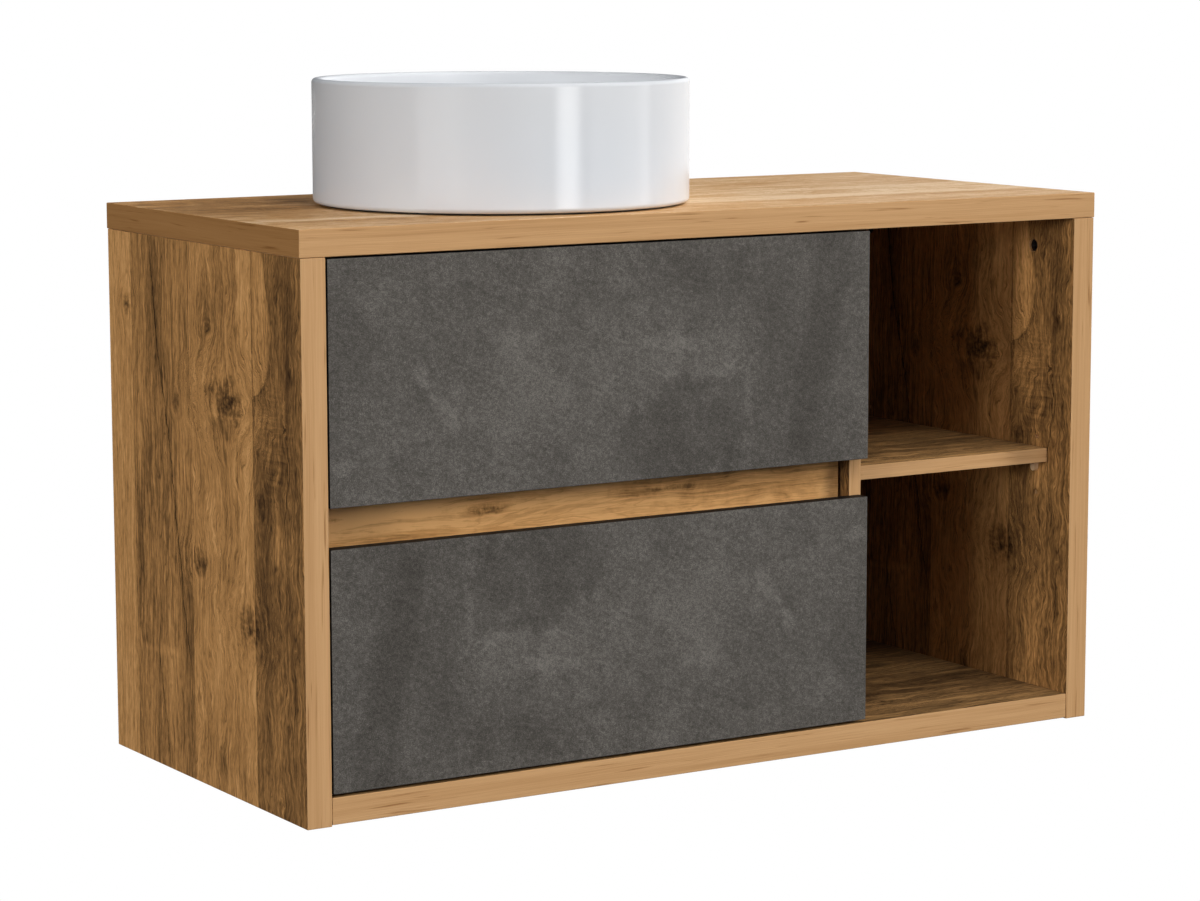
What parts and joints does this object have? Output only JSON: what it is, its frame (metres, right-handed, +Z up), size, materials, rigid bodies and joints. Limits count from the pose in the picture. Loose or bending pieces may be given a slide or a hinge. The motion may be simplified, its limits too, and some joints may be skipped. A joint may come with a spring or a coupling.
{
  "type": "vessel sink vanity",
  "caption": "Wall-hung vanity with a round vessel basin on a wooden worktop, stone-look drawers with a finger gap between them, and an open shelf compartment.",
  "frame": {"origin": "centre of the wall rail's back face, on the wall", "axes": "+Y into the wall, front of the vanity towards -Y, +X to the right as seen from the front, +Z up"},
  "size_m": [1, 0.458, 0.735],
  "materials": {
    "oak_top": "light oak decor, fine straight grain, satin",
    "oak_knotty": "knotty oak plank decor, satin, light oak edges",
    "slate_laminate": "dark grey slate-look laminate, matt",
    "drawer_board": "grey linen melamine, matt",
    "white_ceramic": "white glaze, high gloss",
    "chrome": "polished chrome",
    "zinc_steel": "bright zinc-plated sheet",
    "cam_zinc": "raw die-cast zinc",
    "ivory_plastic": "translucent ivory plastic",
    "grey_plastic": "moulded grey plastic",
    "black_rubber": "matt black rubber"
  },
  "bodies": {
    "cabinet": {"back_panel": "oak_knotty", "basin": "white_ceramic", "basin_seal": "black_rubber", "bottom_panel": "oak_knotty", "cam_lock_left_front": "cam_zinc", "cam_lock_left_rear": "cam_zinc", "cam_lock_right_front": "cam_zinc", "cam_lock_right_rear": "cam_zinc", "divider_panel": "oak_knotty", "grip_rail": "oak_top", "grip_rail_bracket_left": "zinc_steel", "grip_rail_bracket_right": "zinc_steel", "hanging_plate_left": "zinc_steel", "hanging_plate_right": "zinc_steel", "lower_runner_left_cabinet": "zinc_steel", "lower_runner_right_cabinet": "zinc_steel", "rear_rail": "oak_knotty", "shelf": "oak_knotty", "shelf_support_left_front": "ivory_plastic", "shelf_support_left_rear": "ivory_plastic", "shelf_support_right_front": "ivory_plastic", "shelf_support_right_rear": "ivory_plastic", "side_panel_left": "oak_knotty", "side_panel_right": "oak_knotty", "trap_body": "chrome", "trap_cup": "chrome", "trap_inlet_nut": "chrome", "trap_inlet_pipe": "chrome", "trap_outlet_nut": "chrome", "trap_outlet_pipe": "chrome", "upper_runner_left_cabinet": "zinc_steel", "upper_runner_right_cabinet": "zinc_steel", "wall_rail": "zinc_steel", "wall_rosette": "chrome", "waste_body": "chrome", "waste_nut": "chrome", "waste_washer": "black_rubber", "worktop": "oak_top"},
    "upper_drawer": {"upper_drawer_back_left": "drawer_board", "upper_drawer_back_right": "drawer_board", "upper_drawer_bottom": "drawer_board", "upper_drawer_front": "slate_laminate", "upper_drawer_side_left": "drawer_board", "upper_drawer_side_right": "drawer_board", "upper_drawer_trap_surround": "grey_plastic", "upper_runner_left_drawer": "zinc_steel", "upper_runner_right_drawer": "zinc_steel"},
    "upper_runner_middles": {"upper_runner_left_middle": "zinc_steel", "upper_runner_right_middle": "zinc_steel"},
    "lower_drawer": {"lower_drawer_back": "drawer_board", "lower_drawer_bottom": "drawer_board", "lower_drawer_front": "slate_laminate", "lower_drawer_side_left": "drawer_board", "lower_drawer_side_right": "drawer_board", "lower_runner_left_drawer": "zinc_steel", "lower_runner_right_drawer": "zinc_steel"},
    "lower_runner_middles": {"lower_runner_left_middle": "zinc_steel", "lower_runner_right_middle": "zinc_steel"},
    "waste_plug": {"waste_plug": "chrome"}
  },
  "joints": [
    {"name": "upper_drawer_slide", "type": "slide", "parent": "cabinet", "child": "upper_drawer", "axis": [0, -1, 0], "range_m": [0, 0.4]},
    {"name": "upper_runner_travel", "type": "slide", "parent": "cabinet", "child": "upper_runner_middles", "axis": [0, -1, 0], "range_m": [0, 0.2]},
    {"name": "lower_drawer_slide", "type": "slide", "parent": "cabinet", "child": "lower_drawer", "axis": [0, -1, 0], "range_m": [0, 0.4]},
    {"name": "lower_runner_travel", "type": "slide", "parent": "cabinet", "child": "lower_runner_middles", "axis": [0, -1, 0], "range_m": [0, 0.2]},
    {"name": "waste_plug_press", "type": "slide", "parent": "cabinet", "child": "waste_plug", "axis": [0, 0, -1], "range_m": [0, 0.008], "stiffness_N_per_m": 300, "springref_m": -0.02}
  ],
  "couplings": [
    {"joint": "upper_runner_travel", "follows": "upper_drawer_slide", "ratio": 0.5},
    {"joint": "lower_runner_travel", "follows": "lower_drawer_slide", "ratio": 0.5}
  ]
}
